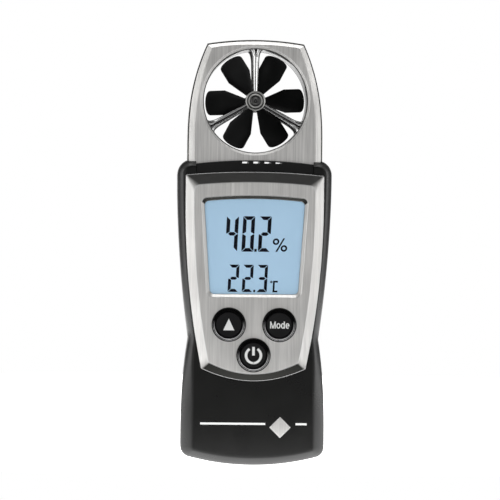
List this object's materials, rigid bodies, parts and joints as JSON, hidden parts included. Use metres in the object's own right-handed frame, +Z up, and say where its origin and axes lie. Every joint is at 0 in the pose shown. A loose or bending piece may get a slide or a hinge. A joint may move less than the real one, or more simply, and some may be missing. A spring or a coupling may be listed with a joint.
{
  "type": "handheld weather meter",
  "caption": "Pocket weather meter: black waisted housing, silver panel with backlit display and round keys, and a silver head with a spinning vane wheel in an open duct.",
  "frame": {"origin": "lowest point of the curved foot, in the middle of the width and halfway between face and back", "axes": "+Z up along the length towards the head, -Y out of the display, +X to the right as the display is read"},
  "size_m": [0.046, 0.025, 0.1266],
  "materials": {
    "black_plastic": "fine satin grain",
    "brushed_silver": "metallised, brushed upright",
    "bright_inlay": "satin",
    "satin_silver": "metallised satin",
    "turned_metal": "turned",
    "jewel": "polished",
    "clear_window": "clear, polished",
    "lcd": "lit from behind",
    "gasket": "foam",
    "diffuser": "milky",
    "zebra_rubber": "striped",
    "gloss_black": "polished",
    "key_black": "satin",
    "mat_rubber": "moulded",
    "board_green": "solder mask",
    "chip_black": "moulded epoxy",
    "screw_steel": "blackened",
    "vane_black": "moulded",
    "copper_coil": "wound wire",
    "ribbon_film": "film",
    "socket_plastic": "moulded",
    "sensor_white": "ceramic",
    "tray_plastic": "moulded",
    "cell_jacket": "printed foil",
    "spring_steel": "plated"
  },
  "bodies": {
    "housing": {"front_shell": "black_plastic", "rear_shell": "black_plastic", "front_panel": "brushed_silver", "neck_collar": "black_plastic", "mark_plate": "bright_inlay", "display_window": "clear_window", "display_gasket": "gasket", "lcd_glass": "lcd", "backlight_guide": "diffuser", "zebra_strips": "zebra_rubber", "key_ring_up": "gloss_black", "key_ring_mode": "gloss_black", "key_ring_power": "gloss_black", "keypad_mat": "mat_rubber", "circuit_board": "board_green", "microcontroller": "chip_black", "board_parts": "chip_black", "board_screws": "screw_steel", "head_front": "brushed_silver", "head_rear": "brushed_silver", "head_brackets": "tray_plastic", "duct_sleeve": "satin_silver", "front_spider": "satin_silver", "rear_spider": "satin_silver", "front_hub_cap": "turned_metal", "rear_hub_cap": "turned_metal", "front_bearing": "jewel", "rear_bearing": "jewel", "rotation_pickup": "copper_coil", "head_ribbon": "ribbon_film", "ribbon_socket": "socket_plastic", "sensor_board": "board_green", "humidity_sensor": "sensor_white", "temperature_sensor": "chip_black", "battery_tray": "tray_plastic", "battery_left": "cell_jacket", "battery_right": "cell_jacket", "battery_springs": "spring_steel", "battery_contacts": "spring_steel", "case_screws": "screw_steel", "head_screws": "screw_steel"},
    "vane_rotor": {"vane_shaft": "turned_metal", "vane_wheel": "vane_black"},
    "up_key": {"key_up": "key_black"},
    "mode_key": {"key_mode": "key_black"},
    "power_key": {"key_power": "key_black"},
    "back_cover": {"battery_cover": "black_plastic"}
  },
  "joints": [
    {"name": "vane_spin", "type": "hinge", "parent": "housing", "child": "vane_rotor", "pos_m": [0, 0, 0.1084], "axis": [0, 1, 0], "continuous": true},
    {"name": "key_up_press", "type": "slide", "parent": "housing", "child": "up_key", "axis": [0, 1, 0], "range_m": [0, 0.0006], "stiffness_N_per_m": 1000, "springref_m": -0.0005},
    {"name": "key_mode_press", "type": "slide", "parent": "housing", "child": "mode_key", "axis": [0, 1, 0], "range_m": [0, 0.0006], "stiffness_N_per_m": 1000, "springref_m": -0.0005},
    {"name": "key_power_press", "type": "slide", "parent": "housing", "child": "power_key", "axis": [0, 1, 0], "range_m": [0, 0.0006], "stiffness_N_per_m": 1000, "springref_m": -0.0005},
    {"name": "battery_cover_slide", "type": "slide", "parent": "housing", "child": "back_cover", "axis": [0, 0, -1], "range_m": [0, 0.006]}
  ]
}
